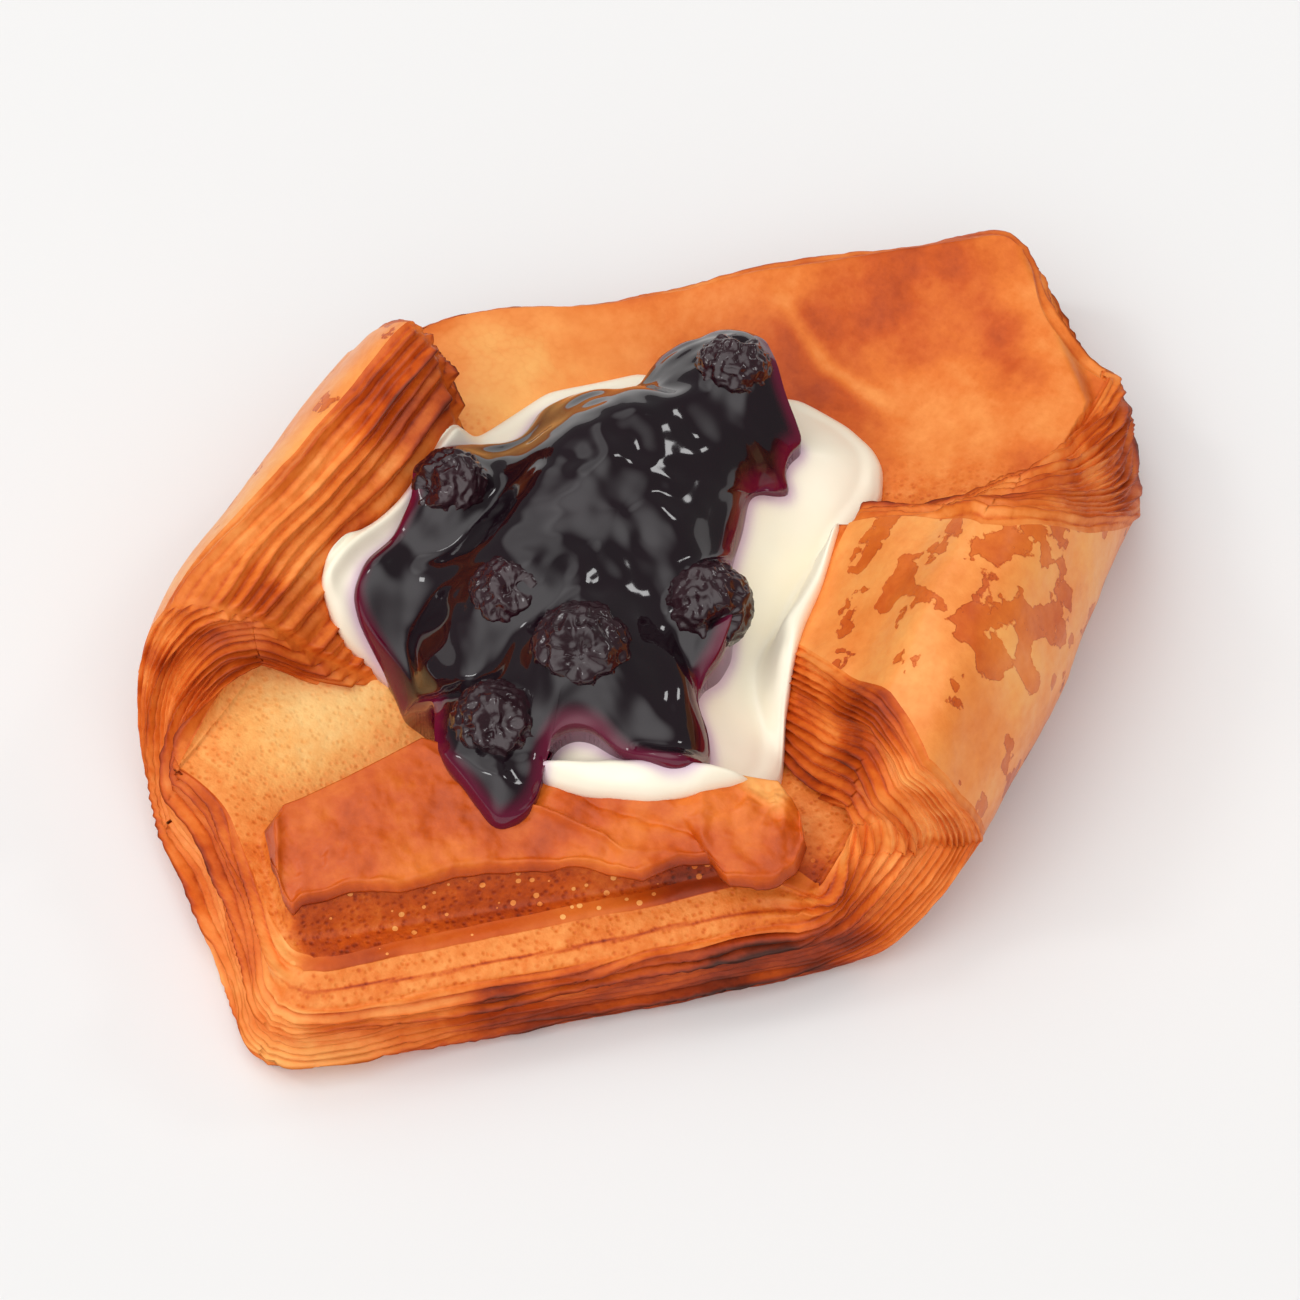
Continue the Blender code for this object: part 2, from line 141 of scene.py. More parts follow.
# The rows of the sheet from the south tip to the north tip, in six spans, and how finely
# each span, a row and the thickness are cut into faces.
ROWS = (6, 10, 9, 9, 10, 6)
ROW_STEPS = (70, 110, 90, 90, 110, 70)
LAST_ROW = float(sum(ROWS))
COLUMN_STEPS = 220
LEAF_STEPS = 144

# The leaves of a cut edge: how many lie over each other, how far a crest stands out, and
# the seed of each edge's noise.
LEAVES = 16
LEAF_RELIEF = 1.9
LEAF_SEEDS = {"west": 3, "east": 4, "south": 5, "north": 6}

# How the south-west border steps back between the tray and the shelf: shares of the
# thickness, and shares of the whole step there.
STAIR_THICKNESS = (0.0, 0.74, 0.82, 0.92, 0.95, 1.0)
STAIR_INSET = (0.0, 0.06, 0.14, 0.70, 0.78, 1.0)


def smooth_step(low, high, value):
    """0 at the low value and 1 at the high one, which may be the smaller number."""
    t = np.clip((value - low) / (high - low), 0.0, 1.0)
    return t * t * (3.0 - 2.0 * t)


def mix(first, second, share):
    """The first where the share is 0, the second where it is 1."""
    return first + (second - first) * share


def lattice(ix, iy, iz, seed):
    """A fixed number from 0 to 1 for each point of a lattice."""
    mask = 0xFFFFFFFF
    value = (ix * 374761393 + iy * 668265263 + iz * 144665731 + seed * 1013904223) & mask
    value = ((value ^ (value >> 13)) * 1274126177) & mask
    value = ((value ^ (value >> 16)) * 668265263) & mask
    return ((value ^ (value >> 15)) & 0xFFFFFF) / float(0xFFFFFF)


def noise(x, y, z, seed):
    """Smooth noise from -1 to 1 with features one unit wide."""
    x, y, z = np.broadcast_arrays(x, y, z)
    cells = [np.floor(value).astype(np.int64) for value in (x, y, z)]
    shares = []
    for value, cell in zip((x, y, z), cells):
        t = value - cell
        shares.append(t * t * t * (t * (t * 6.0 - 15.0) + 10.0))
    total = 0.0
    for corner in range(8):
        steps = (corner & 1, corner >> 1 & 1, corner >> 2)
        weight = 1.0
        for share, step in zip(shares, steps):
            weight = weight * (share if step else 1.0 - share)
        total = total + weight * lattice(*(c + s for c, s in zip(cells, steps)), seed)
    return 2.0 * total - 1.0


def cloud(x, y, z, seed, octaves=4):
    """Noise with finer and finer detail added."""
    total, size = 0.0, 1.0
    for octave in range(octaves):
        total = total + noise(x * size, y * size, z * size, seed + octave) / size
        size *= 2.0
    return total / 1.6


def spot(x, y, middle, reach):
    """1 at a place in plan, and fading out over the reach."""
    distance = np.hypot(x - middle[0], y - middle[1]) / reach
    return np.exp(-(distance**2))


def fold_axes(fold):
    """The unit vectors along a fold and out of it, across the dough."""
    angle = math.radians(fold["bearing"])
    along = (math.cos(angle), math.sin(angle))
    return along, (-fold["side"] * along[1], fold["side"] * along[0])


def past_fold(fold, x, y):
    """How far a point of the flat sheet lies along the fold, and beyond it."""
    along, outward = fold_axes(fold)
    dx, dy = x - fold["anchor"][0], y - fold["anchor"][1]
    return dx * along[0] + dy * along[1], dx * outward[0] + dy * outward[1]


def inside_edge(first, second, x, y):
    """How far a point lies left of the sheet's edge from the first corner on."""
    (ax, ay), (bx, by) = CORNERS[first], CORNERS[second]
    length = math.hypot(bx - ax, by - ay)
    return ((bx - ax) * (y - ay) - (by - ay) * (x - ax)) / length


def inside_borders(x, y):
    """How far a point lies inside each border, from the southwest one round by the east."""
    return [inside_edge(first, second, x, y) for first, second in BORDERS]


def bed_height(x, y):
    """The height of the lower dough's top, under the filling and the flaps."""
    distances = inside_borders(x, y)
    from_sw, from_se, from_ne, from_nw = distances
    inside = 1.0
    for distance in [*distances, *(-past_fold(fold, x, y)[1] for fold in FOLDS)]:
        inside = inside * (1.0 - np.exp(-((np.maximum(distance, 0.0) / DISH_WIDTH) ** 2)))
    foot = np.interp(from_nw, SHELF_FOOT_AT, SHELF_FOOT)
    west_shelf = smooth_step(foot, foot + 3.0, from_sw) * smooth_step(4.5, 7.0, from_nw)
    west_shelf *= 1.0 - smooth_step(18.0, 22.5, from_sw - 0.2 * from_nw)
    west_shelf *= smooth_step(5.5, 8.0, from_nw - 0.1 * from_sw)
    west_shelf *= 1.0 - smooth_step(50.0, 62.0, from_nw + 0.1 * from_sw)
    east_shelf = smooth_step(1.0, 3.0, from_ne) * smooth_step(4.5, 7.0, from_se)
    east_shelf = 0.5 * east_shelf * (1.0 - smooth_step(35.0, 45.0, from_se))
    return mix(RIM_HEIGHT, MIDDLE_HEIGHT, inside) + SHELF_RISE * (west_shelf + east_shelf)


def folded(x, y, w, fold):
    """Where a point of the flat sheet, at the share w of the dough's thickness from the
    tray side, ends up once its corner is folded over."""
    along, outward = fold_axes(fold)
    run, beyond = past_fold(fold, x, y)
    turned = math.pi * np.clip(beyond / fold["turn_length"], 0.0, 1.0)
    back = np.maximum(beyond - fold["turn_length"], 0.0) * fold["stretch"]
    radius = fold["inner_radius"] + (1.0 - w) * fold["thickness"]
    taper = mix(*fold["end_taper"], smooth_step(-10.0, 10.0, run))
    taper = 1.0 - taper * smooth_step(0.3 * FOLD_SPAN, FOLD_SPAN, np.abs(run))
    out = radius * np.sin(turned) * fold["bulge"] * taper - back
    plan_x = fold["anchor"][0] + run * along[0] + out * outward[0]
    plan_y = fold["anchor"][1] + run * along[1] + out * outward[1]
    rolled = fold["inner_radius"] + fold["thickness"] - radius * np.cos(turned)
    thinning = smooth_step(0.0, fold["reach"], back)
    thickness = mix(fold["thickness"], fold["tip_thickness"], thinning)
    gap = mix(2.0 * fold["inner_radius"], -SUNK, smooth_step(0.0, 6.0, back))
    lying = bed_height(plan_x, plan_y) + gap + (1.0 - w) * thickness
    blend = smooth_step(0.7 * math.pi, math.pi, turned)
    lift_run, lift_back, lift, width = fold["lift"]
    from_ear = np.hypot(run - lift_run, back - lift_back) / width
    raised = lift * (1.0 - w) * np.exp(-(from_ear**2)) * blend
    open_run, open_beyond = fold["open"]
    flat = smooth_step(*open_run, run) * (1.0 - smooth_step(*open_beyond, beyond))
    height = mix(mix(rolled, lying, blend) + raised, w * bed_height(x, y), flat)
    return mix(plan_x, x, flat), mix(plan_y, y, flat), height


def fold_share(fold, side, beyond):
    """The share of the border, from the folded corner to the side corner, at which the
    sheet lies a length beyond the fold."""
    at_corner = past_fold(fold, *CORNERS[fold["corner"]])[1]
    at_side = past_fold(fold, *CORNERS[side])[1]
    return (at_corner - beyond) / (at_corner - at_side)


def border_share(side, row, w):
    """Where a row meets a border at the share w of the thickness: 0 is the south
    corner, 1 the border's own corner and 2 the north corner."""
    knots = [1.0]
    for fold, sign, start in ((SOUTH_FOLD, 1.0, 0.0), (NORTH_FOLD, -1.0, 2.0)):
        cut = mix(*fold["tip_cut"][0 if side == "west" else 1], w)
        tip = past_fold(fold, *CORNERS[fold["corner"]])[1] - cut
        run = [tip, np.minimum(fold["turn_length"], tip - 1.5), 0.0]
        shares = [start + sign * fold_share(fold, side, beyond) for beyond in run]
        knots = shares + knots if sign > 0.0 else knots + shares[::-1]
    share = knots[0]
    passed = 0
    for count, low, high in zip(ROWS, knots[:-1], knots[1:]):
        share = share + (high - low) * np.clip((row - passed) / count, 0.0, 1.0)
        passed += count
    return share


def row_end(side, row, w):
    """A row's end on the sheet's west or east border, and how far the layer at w stops
    short of it."""
    share = border_share(side, row, w)
    path = zip(CORNERS["south"], CORNERS[side], CORNERS["north"])
    x, y = (np.interp(share, (0.0, 1.0, 2.0), places) for places in path)
    south_stair, north_stair = STAIRS[side]
    southern = 1.0 - smooth_step(0.9, 1.1, share)
    stepped = np.interp(w, STAIR_THICKNESS, STAIR_INSET) if side == "west" else w
    stair = mix(north_stair * w, south_stair * stepped, southern)
    end = 0 if side == "west" else 1
    flap = 0.0
    for fold in FOLDS:
        beyond = past_fold(fold, x, y)[1]
        stair = stair * (1.0 - smooth_step(-8.0, 6.0, beyond))
        skin = np.interp(beyond, fold["inset_at"], fold["skin_inset"][end])
        inner = np.interp(beyond, fold["inset_at"], fold["inner_outset"][end])
        flap = flap + mix(skin, -inner, w)
    corner = CORNER_CUT * np.exp(-(((share - 1.0) / 0.02) ** 2))
    return x, y, EDGE_INSET + stair + flap + corner


def danish_point(column, row, w):
    """Where a point of the sheet lies in the baked danish: the column as a share of its
    row, the row's number, and the share w of the thickness from the tray side."""
    west_x, west_y, west_inset = row_end("west", row, w)
    east_x, east_y, east_inset = row_end("east", row, w)
    length = np.hypot(east_x - west_x, east_y - west_y)
    narrow = np.minimum(1.0, length / NARROW_ROW)
    start = west_inset * narrow
    along = (start + column * (length - start - east_inset * narrow)) / length
    x, y = mix(west_x, east_x, along), mix(west_y, east_y, along)
    z = w * bed_height(x, y)
    for fold in FOLDS:
        beyond = past_fold(fold, x, y)[1]
        fx, fy, fz = folded(x, y, w, fold)
        x, y, z = (np.where(beyond > 0.0, a, b) for a, b in ((fx, x), (fy, y), (fz, z)))
    return np.stack((x, y, z), axis=-1)


def leaf_relief(row, w, along, seed):
    """How far the leaves stand out of a cut edge, and 1 on their crests, 0 in the gaps,
    at a length in millimetres along the edge."""
    drift = 1.3 * noise(along / 26.0, w * 2.0, 0.0, seed)
    drift = drift + 0.5 * noise(along / 11.0, w * 4.0, 1.0, seed)
    phase = LEAVES * w + drift
    leaf = np.floor(phase).astype(np.int64)
    crest = 1.0 - np.abs(2.0 * (phase - leaf) - 1.0)
    strength = 0.25 + 0.75 * lattice(leaf, leaf * 0, leaf * 0, seed)
    strength = strength * (0.8 + 0.5 * noise(along / 14.0, leaf * 3.7, 2.0, seed))
    relief = LEAF_RELIEF * strength * crest**1.2
    relief = relief + 0.5 * noise(along / 9.0, w * 5.0, 5.0, seed)
    relief = relief + 0.16 * cloud(along / 1.6, w * 26.0, 9.0, seed, 3)
    flat = smooth_step(15.0, 18.0, row) * (1.0 - smooth_step(24.5, 26.0, row))
    calm = flat * smooth_step(0.76, 0.82, w) if seed == LEAF_SEEDS["west"] else 0.0
    relief = mix(relief, 0.25 * cloud(along / 3.0, w * 9.0, 4.0, seed, 3), calm)
    return relief + 0.3, crest * (1.0 - calm), strength * (1.0 - calm)


def swelling(x, y, z):
    """How far the dough is blown up outwards of its smooth form, in thickness."""
    fine = 0.28 * cloud(x / 6.0, y / 6.0, z / 6.0, 21, 4)
    broad = 0.5 * noise(x / 16.0, y / 16.0, z / 16.0, 31)
    return fine + broad


def dough_surface(column, row, w):
    """Points of the dough's surface with its swellings, but without its leaves."""
    column, row, w = np.broadcast_arrays(column, row, w)
    points = danish_point(column, row, w)
    step = 0.02
    up = danish_point(column, row, w + step) - danish_point(column, row, w - step)
    up = up / np.maximum(np.linalg.norm(up, axis=-1, keepdims=True), 1e-6)
    outer = 2.0 * smooth_step(0.0, 1.0, w) - 1.0
    swell = swelling(*np.moveaxis(points, -1, 0))
    flat_rows = smooth_step(15.0, 17.0, row) * (1.0 - smooth_step(33.0, 35.0, row))
    on_tray = flat_rows * (1.0 - smooth_step(0.0, 0.15, w))
    swell = swell * (1.0 - on_tray)
    points = points + up * (outer * swell)[..., None]
    points[..., 2] = np.maximum(points[..., 2], 0.0)
    return points


def grid_normals(points):
    """Unit normals of a grid of points, towards its first axis cross its second."""
    across = np.cross(np.gradient(points, axis=0), np.gradient(points, axis=1))
    return across / np.maximum(np.linalg.norm(across, axis=-1, keepdims=True), 1e-9)


def row_list(low, high, every=1):
    """Row numbers between two rows, as closely spaced as ROW_STEPS says."""
    rows, passed = [], 0
    for count, steps in zip(ROWS, ROW_STEPS):
        rows += [passed + count * step / steps for step in range(steps)]
        passed += count
    rows = [row for row in [*rows, float(passed)] if low <= row <= high]
    picked = rows[::every]
    if picked[-1] != rows[-1]:
        picked.append(rows[-1])
    return np.array(picked)


def grid_faces(rows, columns):
    """The faces of a grid of points."""
    first = np.arange(rows - 1)[:, None] * columns + np.arange(columns - 1)
    corners = (first, first + 1, first + columns + 1, first + columns)
    return np.stack(corners, axis=-1).reshape(-1, 4)


def add_object(name, data):
    """An object in the scene that shows the data."""
    made = bpy.data.objects.new(name, data)
    bpy.context.scene.collection.objects.link(made)
    return made


def add_piece(name, points, faces, marks, look, node):
    """A mesh of four-cornered faces that stands for a node, with numbers at its points
    that its look reads."""
    mesh = bpy.data.meshes.new(name)
    points = (points.reshape(-1, 3) + PLACE) * MM
    mesh.vertices.add(len(points))
    mesh.vertices.foreach_set("co", points.astype(np.float32).ravel())
    mesh.loops.add(faces.size)
    mesh.loops.foreach_set("vertex_index", faces.astype(np.int32).ravel())
    mesh.polygons.add(len(faces))
    mesh.polygons.foreach_set("loop_start", np.arange(0, faces.size, 4, dtype=np.int32))
    mesh.update(calc_edges=True)
    mesh.validate()
    mesh.shade_smooth()
    for mark, values in marks.items():
        attribute = mesh.attributes.new(mark, "FLOAT", "POINT")
        attribute.data.foreach_set("value", np.asarray(values, dtype=np.float32).ravel())
    piece = add_object(name, mesh)
    mesh.materials.append(look)
    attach(piece, "root")
    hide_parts(node)
    return piece


def skin_piece(name, columns, rows, share, look):
    """A piece of the outer skin, where the share is 0, or of the inner, where it is 1."""
    column, row, w = np.broadcast_arrays(columns[None, :], rows[:, None], share)
    points = dough_surface(column, row, w)
    faces = grid_faces(*points.shape[:2])
    faces = faces if share > 0.5 else faces[:, ::-1]
    return add_piece(name, points, faces, skin_marks(points, row, w), look, "pastry")


def cut_piece(name, column, row, w, seed, outward, look):
    """A cut edge of the dough with its leaves, facing out where outward is 1 or -1."""
    column, row, w = np.broadcast_arrays(column, row, w)
    points = dough_surface(column, row, w)
    middle = points[:, points.shape[1] // 2]
    steps = np.linalg.norm(np.diff(middle, axis=0), axis=-1)
    along = np.concatenate(([0.0], np.cumsum(steps)))[:, None]
    relief, crest, strength = leaf_relief(row, w, along, seed)
    at_rim = smooth_step(0.0, 0.05, w) * (1.0 - smooth_step(0.95, 1.0, w))
    ends = np.minimum(np.arange(points.shape[0]), np.arange(points.shape[0])[::-1])
    at_rim = at_rim * smooth_step(0.0, 6.0, ends)[:, None]
    points = points + grid_normals(points) * (outward * at_rim * relief)[..., None]
    points[..., 2] = np.maximum(points[..., 2], 0.0)
    faces = grid_faces(*points.shape[:2])
    faces = faces if outward > 0.0 else faces[:, ::-1]
    marks = leaf_marks(points, column, row, w, crest, strength * at_rim)
    return add_piece(name, points, faces, marks, look, "pastry")


def skin_marks(points, row, w):
    """Tone, openness and peeling of the outer and the inner skin of the dough, with a painted
    highlight on the east panel.
    """
    x, y, z = np.moveaxis(points, -1, 0)
    distances = inside_borders(x, y)
    from_sw, from_nw = distances[0], distances[3]
    rim = np.minimum.reduce(distances)
    inner = w > 0.5
    on_panel = smooth_step(28.0, 36.0, x + 0.5 * y)
    basin = spot(x, y, (-25.0, 27.0), 13.0) + spot(x, y, (22.0, 38.0), 13.0)
    tone_in = 0.42 - 0.40 * np.minimum(basin, 1.0)
    tone_in += on_panel * (0.08 + 0.12 * spot(x, y, (55.0, 2.0), 16.0))
    # Painted highlight: a pale yellow spot on the glossy east panel.
    tone_in -= 0.30 * spot(x, y, (43.0, -6.0), 6.0)
    crease = np.exp(-(((x - 43.5 - 0.35 * np.maximum(y - 8.0, 0.0)) / 1.1) ** 2))
    crease = crease * smooth_step(-4.0, 2.0, y) * smooth_step(20.0, 12.0, y)
    tone_in -= 0.22 * crease
    tone_in += on_panel * 0.22 * cloud(x / 13.0, y / 13.0, 1.0, 43, 4)
    tone_in += 0.10 * smooth_step(5.0, 0.0, rim)
    tone_in += 0.16 * spot(x, y, (-38.0, 16.0), 5.0)
    under_film = smooth_step(15.0, 13.0, from_sw) * smooth_step(7.0, 9.0, from_nw)
    under_film = under_film * (row < 27.0)
    past_film = smooth_step(-14.0, -8.0, x)
    film_floor = 0.66 - 0.24 * past_film + 0.12 * noise(x / 7.0, y / 7.0, 0.0, 67)
    tone_in = mix(tone_in, film_floor, under_film)
    tone_out = 0.31 + 0.20 * smooth_step(18.0, 6.0, z)
    tone = np.where(inner, tone_in, tone_out)
    tone += 0.12 * cloud(x / 9.0, y / 9.0, z / 9.0, 41)
    porous = np.where(inner, 1.0 - 0.85 * on_panel - 0.4 * basin, 0.12)
    peeled = spot(x, y, (18.0, -21.0), 9.0) + spot(x, y, (28.0, -30.0), 11.0)
    peeled += 0.8 * spot(x, y, (14.0, -38.0), 9.0) + 0.5 * spot(x, y, (44.0, -22.0), 12.0)
    flake = np.where(inner, 0.0, 0.37 + 0.18 * np.minimum(peeled, 1.0))
    flake += np.where(inner, 0.0, 0.40 * cloud(x / 3.5, y / 3.5, z / 4.5, 55, 4))
    blister = np.where(inner, under_film * (1.0 - past_film), 0.0)
    return {"tone": tone, "porous": porous, "flake": flake, "blister": blister}


def leaf_marks(points, column, row, w, crest, strength):
    """Tone and openness of the cut edges, dark on the leaves' baked crests, with painted shade
    in the gaps between them.
    """
    x, y, z = np.moveaxis(points, -1, 0)
    west = column < 0.5
    tone = 0.45 + 0.22 * cloud(x / 6.0, y / 6.0, z / 3.0, 61)
    side = smooth_step(0.80, 0.70, w) * west * smooth_step(13.0, 16.0, row)
    side = side * smooth_step(27.0, 24.0, row)
    fan = west * smooth_step(17.0, 13.0, row)
    tone += 0.22 * side + 0.04 * fan - 0.26 * side * smooth_step(-34.0, -52.0, x)
    corner = spot(x, y, CORNERS["west"], 14.0)
    tone -= 0.16 * corner * west
    tone += 0.12 * fan * smooth_step(15.0, 6.0, z)
    tone += 0.07 * spot(x, y, (-16.5, -32.5), 7.0) - 0.26 * spot(x, y, (-4.0, -36.0), 7.0)
    tone += 0.16 * spot(x, y, (1.0, -27.0), 7.0) - 0.10 * spot(x, y, (10.0, -20.0), 8.0) * fan
    tone += 0.30 * smooth_step(0.70, 0.95, crest) * np.clip(strength, 0.0, 1.0)
    # Painted shade: the gaps between the leaves are darkened.
    tone += 0.20 * smooth_step(0.35, 0.05, crest) * np.clip(strength + 0.2, 0.0, 1.0)
    flat = smooth_step(15.0, 18.0, row) * smooth_step(26.0, 24.5, row) * west
    shelf = flat * smooth_step(0.78, 0.82, w) * smooth_step(0.936, 0.930, w)
    line = np.exp(-(((w - 0.855 - 0.006 * noise(x / 5.0, y / 5.0, 0.0, 65)) / 0.004) ** 2))
    tone = mix(tone, 0.40 + 0.30 * line + 0.06 * cloud(x / 5.0, y / 5.0, 0.0, 66), shelf)
    band = flat * smooth_step(0.930, 0.936, w)
    tone = mix(tone, 0.62 + 0.12 * noise(x / 7.0, y / 7.0, 0.0, 67), band)
    flap = smooth_step(36.0, 40.0, row)
    burnt = spot(x, y, (7.0, 32.0), 7.0) * smooth_step(20.0, 27.0, z)
    tone += 0.18 * burnt + (0.01 + 0.12 * spot(x, y, (8.0, 27.0), 8.0)) * flap
    porous = np.clip(0.35 + 0.6 * shelf - 0.3 * crest, 0.0, 1.0) * (1.0 - band)
    return {"tone": tone, "porous": porous, "flake": 0.0 * tone, "blister": band}


def light_value(level):
    """The shader's light value of a screen colour's level from 0 to 255."""
    return ((level / 255.0 + 0.055) / 1.055) ** 2.4 if level > 10 else level / 3294.6


def rgb(*levels):
    """A screen colour as the shader's light values."""
    return tuple(light_value(level) for level in levels)


# The colours of the dough at its tones, from pale crumb to burnt crust.
PASTRY_TONES = (
    (0.00, rgb(255, 208, 132)),
    (0.16, rgb(252, 182, 100)),
    (0.32, rgb(244, 150, 72)),
    (0.46, rgb(228, 118, 38)),
    (0.60, rgb(202, 84, 12)),
    (0.74, rgb(162, 56, 10)),
    (0.88, rgb(112, 38, 12)),
    (1.00, rgb(66, 26, 14)),
)


def with_inputs(node, values):
    """A shader node, once values are set at its inputs."""
    for name, value in values.items():
        node.inputs[name].default_value = value
    return node


def new_look(name, values):
    """A material, its nodes and its shader with values set."""
    made = bpy.data.materials.new(name)
    made.use_nodes = True
    tree = made.node_tree
    return made, tree, with_inputs(tree.nodes["Principled BSDF"], values)


def pastry_look(name, roughness, coat):
    """Baked dough: its tone runs from pale crumb to burnt, with pores, darkened as painted
    shade, and peeling.
    """
    glaze = {"Coat Weight": coat, "Coat Roughness": 0.28, "Specular IOR Level": 0.28}
    made, tree, shader = new_look(name, glaze)
    link = tree.links.new

    def number(mark):
        node = tree.nodes.new("ShaderNodeAttribute")
        node.attribute_name = mark
        return node.outputs["Fac"]

    def maths(operation, first, second=0.0, third=0.0):
        node = tree.nodes.new("ShaderNodeMath")
        node.operation = operation
        for socket, value in zip(node.inputs, (first, second, third)):
            if isinstance(value, float):
                socket.default_value = value
            else:
                link(value, socket)
        return node.outputs[0]

    place = tree.nodes.new("ShaderNodeTexCoord").outputs["Object"]

    def grain(scale, detail, fineness=0.55):
        values = {"Scale": scale, "Detail": detail, "Roughness": fineness}
        node = with_inputs(tree.nodes.new("ShaderNodeTexNoise"), values)
        link(place, node.inputs["Vector"])
        return node.outputs["Fac"]

    def cells(scale):
        node = with_inputs(tree.nodes.new("ShaderNodeTexVoronoi"), {"Scale": scale})
        link(place, node.inputs["Vector"])
        return node.outputs["Distance"]

    tone, porous, flake = number("tone"), number("porous"), number("flake")
    blister = number("blister")
    mottle = grain(130.0, 3.0)
    speckle = grain(900.0, 3.0)
    # Pits: pores that the bump further down sinks in, painted darker there as shade.
    pits = maths("MULTIPLY", maths("SUBTRACT", 0.42, cells(1300.0)), porous)
    pits = maths("MAXIMUM", pits, 0.0)
    tone = maths("MULTIPLY_ADD", maths("SUBTRACT", mottle, 0.5), 0.22, tone)
    speckled = maths("MULTIPLY_ADD", porous, 0.22, 0.10)
    tone = maths("MULTIPLY_ADD", maths("SUBTRACT", speckle, 0.5), speckled, tone)
    tone = maths("MULTIPLY_ADD", pits, 0.35, tone)
    limits = {"From Min": 0.60, "From Max": 0.62}
    edge = with_inputs(tree.nodes.new("ShaderNodeMapRange"), limits)
    ragged = maths("MULTIPLY_ADD", maths("SUBTRACT", grain(260.0, 6.0, 0.62), 0.5), 0.55, flake)
    link(ragged, edge.inputs["Value"])
    rim_of_peel = maths("COMPARE", ragged, 0.61, 0.012)
    tone = maths("MULTIPLY_ADD", edge.outputs["Result"], 0.21, tone)
    tone = maths("MULTIPLY_ADD", rim_of_peel, 0.10, tone)
    dots = maths("LESS_THAN", cells(620.0), 0.20)
    tone = maths("MULTIPLY_ADD", maths("MULTIPLY", dots, blister), -0.34, tone)
    ramp = tree.nodes.new("ShaderNodeValToRGB")
    stops = ramp.color_ramp.elements
    while len(stops) < len(PASTRY_TONES):
        stops.new(0.5)
    for stop, (position, colour) in zip(stops, PASTRY_TONES):
        stop.position = position
        stop.color = (*colour, 1.0)
    link(tone, ramp.inputs["Fac"])
    link(ramp.outputs["Color"], shader.inputs["Base Color"])
    link(maths("MULTIPLY_ADD", speckle, 0.25, roughness - 0.12), shader.inputs["Roughness"])
    depth = {"Strength": 0.5, "Distance": 0.00035}
    bump = with_inputs(tree.nodes.new("ShaderNodeBump"), depth)
    rough = maths("MULTIPLY_ADD", porous, 0.8, 0.35)
    height = maths("MULTIPLY_ADD", speckle, rough, maths("MULTIPLY", pits, -1.6))
    height = maths("MULTIPLY_ADD", edge.outputs["Result"], -0.5, height)
    height = maths("MULTIPLY_ADD", maths("MULTIPLY", dots, blister), 0.6, height)
    link(height, bump.inputs["Height"])
    link(bump.outputs["Normal"], shader.inputs["Normal"])
    return made


# The loose film on the western shelf: its upper and its lower edge, from the west end.
FILM_UPPER = (
    (-44.6, 17.4, 17.6), (-41.7, 17.0, 19.6), (-40.2, 16.0, 19.8), (-35.6, 13.6, 20.4),
    (-31.4, 11.7, 20.8), (-26.9, 10.0, 20.8), (-24.0, 2.0, 20.0), (-19.0, -6.0, 20.0),
    (-13.0, -14.0, 20.2), (-9.7, -19.3, 20.0), (-7.4, -22.5, 19.4),
)
FILM_LOWER = (
    (-47.1, 14.6, 17.2), (-49.4, 11.1, 16.8), (-50.2, 9.2, 16.6), (-48.7, 8.7, 17.2),
    (-45.3, 6.0, 17.4), (-43.2, 3.4, 17.4), (-41.7, 1.3, 17.4), (-38.4, -0.5, 17.5),
    (-36.0, -2.3, 17.5), (-33.1, -5.3, 17.6), (-29.7, -9.4, 17.6), (-27.1, -13.2, 17.5),
    (-25.7, -15.8, 17.5), (-25.2, -17.7, 17.4), (-22.3, -19.2, 17.6), (-20.8, -20.2, 17.6),
    (-19.0, -22.5, 17.6), (-19.6, -24.0, 17.4), (-19.9, -25.4, 17.3), (-18.5, -28.0, 17.2),
    (-16.2, -29.6, 17.2), (-14.2, -30.2, 17.3), (-11.3, -29.3, 17.8), (-8.9, -26.4, 18.6),
)

# How finely the film is cut, in points along it and steps across it, its thickness, and its
# creases: place along it, slant and height.
FILM_STEPS = (220, 70)
FILM_THICKNESS = 0.35
FILM_CREASES = ((0.52, 0.42, 0.9), (0.68, 0.30, -0.7), (0.80, -0.12, 0.8))


def along_line(line, count):
    """Evenly spaced points of a line through given places."""
    line = np.array(line)
    lengths = np.linalg.norm(np.diff(line, axis=0), axis=1)
    at = np.concatenate(([0.0], np.cumsum(lengths)))
    wanted = np.linspace(0.0, at[-1], count)
    return np.stack([np.interp(wanted, at, line[:, i]) for i in range(3)], axis=-1)


def smoothed_grid(values, turns):
    """Heights on a grid, evened out with their neighbours."""
    for _ in range(turns):
        padded = np.pad(values, 1, mode="edge")
        around = padded[:-2, 1:-1] + padded[2:, 1:-1] + padded[1:-1, :-2] + padded[1:-1, 2:]
        values = (4.0 * values + around) / 8.0
    return values


